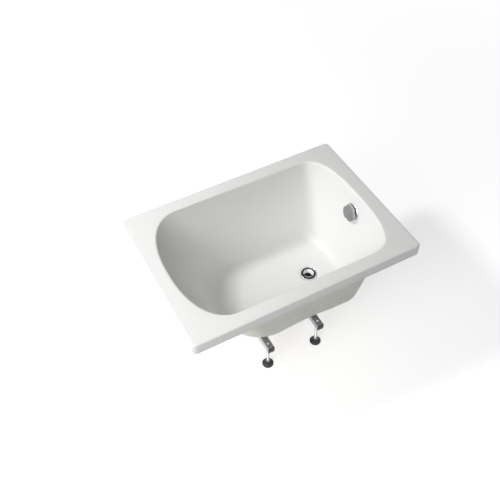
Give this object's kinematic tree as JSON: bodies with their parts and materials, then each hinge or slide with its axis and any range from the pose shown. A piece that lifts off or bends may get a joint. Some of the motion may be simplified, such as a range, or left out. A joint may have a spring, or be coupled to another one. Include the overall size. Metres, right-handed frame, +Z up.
{
  "type": "bathtub",
  "caption": "Short rectangular drop-in bath with a flat deck, a bowed sloping backrest, and a turning knob that lifts the plug through a rod and a rocker; on adjustable feet.",
  "frame": {"origin": "on the ground, under the middle of the rim", "axes": "+X towards the foot end, which carries the waste and the overflow; +Y towards the back; +Z up"},
  "size_m": [1, 0.7, 0.58],
  "materials": {
    "acrylic": "glossy white sheet",
    "glass_fibre": "rough, pale",
    "chipboard": "raw board",
    "timber": "sawn softwood",
    "zinc_tube": "zinc plated",
    "zinc": "zinc plated",
    "steel": "satin",
    "chrome": "polished",
    "seal_rubber": "soft black",
    "white_plastic": "moulded, satin",
    "black_plastic": "moulded"
  },
  "bodies": {
    "tub": {"tub_shell": "acrylic", "fibreglass_backing": "glass_fibre", "base_board": "chipboard", "rim_batten_front": "timber", "rim_batten_back": "timber", "rim_batten_left": "timber", "rim_batten_right": "timber", "leg_bar_left": "zinc_tube", "leg_bar_right": "zinc_tube", "bar_screws": "zinc", "bar_end_caps": "black_plastic", "foot_nuts": "zinc", "lock_nuts": "zinc", "waste_flange": "chrome", "flange_seal": "seal_rubber", "shoe_gasket": "seal_rubber", "waste_shoe": "white_plastic", "rocker_pin": "steel", "waste_tee": "white_plastic", "shoe_nut": "white_plastic", "overflow_pipe": "white_plastic", "pipe_nuts": "white_plastic", "overflow_body": "white_plastic", "overflow_gasket": "seal_rubber", "overflow_rosette": "chrome", "rosette_screws": "steel", "trap_inlet_nut": "white_plastic", "trap_bend": "white_plastic", "trap_outlet_nut": "white_plastic", "trap_outlet_pipe": "white_plastic", "trap_seal": "seal_rubber"},
    "knob": {"overflow_knob": "chrome", "knob_shaft": "steel", "shaft_clip": "steel"},
    "rod": {"lift_rod": "steel"},
    "rocker": {"rocker_lever": "steel"},
    "plug": {"plug_cap": "chrome", "plug_seal": "seal_rubber", "plug_stem": "chrome", "stem_nut": "chrome"},
    "foot_front_left": {"foot_stud_front_left": "zinc", "foot_pad_front_left": "black_plastic"},
    "foot_front_right": {"foot_stud_front_right": "zinc", "foot_pad_front_right": "black_plastic"},
    "foot_back_left": {"foot_stud_back_left": "zinc", "foot_pad_back_left": "black_plastic"},
    "foot_back_right": {"foot_stud_back_right": "zinc", "foot_pad_back_right": "black_plastic"}
  },
  "joints": [
    {"name": "knob_turn", "type": "hinge", "parent": "tub", "child": "knob", "pos_m": [0.41578, 0, 0.488], "axis": [-0.9848, 0, 0.1736], "range_deg": [0, 90]},
    {"name": "rod_slide", "type": "slide", "parent": "tub", "child": "rod", "axis": [0, 0, -1], "range_m": [0, 0.009]},
    {"name": "rocker_tip", "type": "hinge", "parent": "tub", "child": "rocker", "pos_m": [0.3325, 0, 0.1448], "axis": [0, 1, 0], "range_deg": [0, 4.4]},
    {"name": "plug_lift", "type": "slide", "parent": "tub", "child": "plug", "axis": [0, 0, 1], "range_m": [0, 0.009]},
    {"name": "foot_front_left_height", "type": "slide", "parent": "tub", "child": "foot_front_left", "axis": [0, 0, 1], "range_m": [-0.02, 0.02]},
    {"name": "foot_front_right_height", "type": "slide", "parent": "tub", "child": "foot_front_right", "axis": [0, 0, 1], "range_m": [-0.02, 0.02]},
    {"name": "foot_back_left_height", "type": "slide", "parent": "tub", "child": "foot_back_left", "axis": [0, 0, 1], "range_m": [-0.02, 0.02]},
    {"name": "foot_back_right_height", "type": "slide", "parent": "tub", "child": "foot_back_right", "axis": [0, 0, 1], "range_m": [-0.02, 0.02]}
  ],
  "couplings": [
    {"joint": "rod_slide", "follows": "knob_turn", "m_per_rad": 0.005729},
    {"joint": "rocker_tip", "follows": "knob_turn", "ratio": 0.0488},
    {"joint": "plug_lift", "follows": "knob_turn", "m_per_rad": 0.005729}
  ]
}
